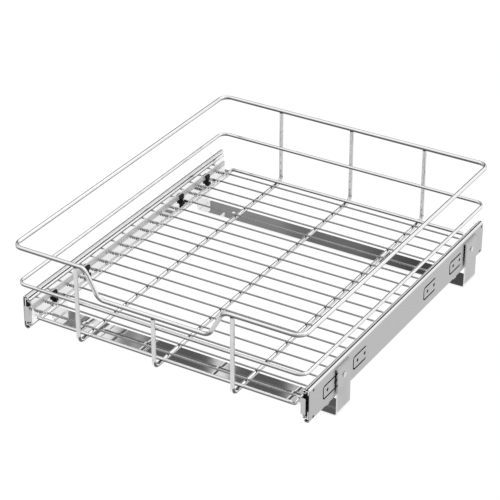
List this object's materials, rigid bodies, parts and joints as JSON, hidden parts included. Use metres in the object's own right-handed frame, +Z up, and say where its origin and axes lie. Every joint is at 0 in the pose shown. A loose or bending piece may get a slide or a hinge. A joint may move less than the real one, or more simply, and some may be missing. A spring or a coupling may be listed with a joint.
{
  "type": "pull-out cabinet basket",
  "caption": "Wire basket with a dipped front rim on telescopic ball slides, held by flat cross rails with turned-up ends.",
  "frame": {"origin": "bottom centre of the bounding box, on the cabinet floor under the middle of the basket", "axes": "+X to the right seen from the front, +Y to the back of the cabinet, +Z up; the basket pulls out along -Y"},
  "size_m": [0.449, 0.5332, 0.1667],
  "materials": {
    "wire_chrome": "bright chrome-plated steel wire",
    "rail_chrome": "polished chrome-plated steel strip",
    "carrier_chrome": "chrome-plated steel sheet",
    "slide_zinc": "zinc-plated cold-rolled steel, satin, slightly mottled",
    "cage_steel": "pressed steel strip",
    "ball_steel": "polished bearing steel",
    "rivet_steel": "zinc-plated steel rivet",
    "black_plastic": "black moulded nylon"
  },
  "bodies": {
    "base": {"front_cross_rail": "rail_chrome", "rear_cross_rail": "rail_chrome", "rail_rivets": "rivet_steel", "left_outer_member": "slide_zinc", "right_outer_member": "slide_zinc"},
    "left_mid": {"left_mid_member": "slide_zinc", "left_mid_bumper": "black_plastic"},
    "right_mid": {"right_mid_member": "slide_zinc", "right_mid_bumper": "black_plastic"},
    "left_outer_race": {"left_outer_cage": "cage_steel", "left_outer_balls": "ball_steel"},
    "right_outer_race": {"right_outer_cage": "cage_steel", "right_outer_balls": "ball_steel"},
    "left_inner_race": {"left_inner_cage": "cage_steel", "left_inner_balls": "ball_steel"},
    "right_inner_race": {"right_inner_cage": "cage_steel", "right_inner_balls": "ball_steel"},
    "basket": {"left_inner_member": "slide_zinc", "right_inner_member": "slide_zinc", "left_carrier": "carrier_chrome", "right_carrier": "carrier_chrome", "carrier_rivets": "rivet_steel", "left_clips": "black_plastic", "right_clips": "black_plastic", "rim_wire": "wire_chrome", "middle_rail_wire": "wire_chrome", "floor_frame_wire": "wire_chrome", "left_post_wire": "wire_chrome", "centre_post_wire": "wire_chrome", "right_post_wire": "wire_chrome", "floor_cross_wires": "wire_chrome"}
  },
  "joints": [
    {"name": "basket_slide", "type": "slide", "parent": "base", "child": "basket", "axis": [0, -1, 0], "range_m": [0, 0.48]},
    {"name": "left_mid_slide", "type": "slide", "parent": "base", "child": "left_mid", "axis": [0, -1, 0], "range_m": [0, 0.24]},
    {"name": "right_mid_slide", "type": "slide", "parent": "base", "child": "right_mid", "axis": [0, -1, 0], "range_m": [0, 0.24]},
    {"name": "left_outer_roll", "type": "slide", "parent": "base", "child": "left_outer_race", "axis": [0, -1, 0], "range_m": [0, 0.12]},
    {"name": "right_outer_roll", "type": "slide", "parent": "base", "child": "right_outer_race", "axis": [0, -1, 0], "range_m": [0, 0.12]},
    {"name": "left_inner_roll", "type": "slide", "parent": "base", "child": "left_inner_race", "axis": [0, -1, 0], "range_m": [0, 0.36]},
    {"name": "right_inner_roll", "type": "slide", "parent": "base", "child": "right_inner_race", "axis": [0, -1, 0], "range_m": [0, 0.36]}
  ],
  "couplings": [
    {"joint": "left_mid_slide", "follows": "basket_slide", "ratio": 0.5},
    {"joint": "right_mid_slide", "follows": "basket_slide", "ratio": 0.5},
    {"joint": "left_outer_roll", "follows": "basket_slide", "ratio": 0.25},
    {"joint": "right_outer_roll", "follows": "basket_slide", "ratio": 0.25},
    {"joint": "left_inner_roll", "follows": "basket_slide", "ratio": 0.75},
    {"joint": "right_inner_roll", "follows": "basket_slide", "ratio": 0.75}
  ]
}
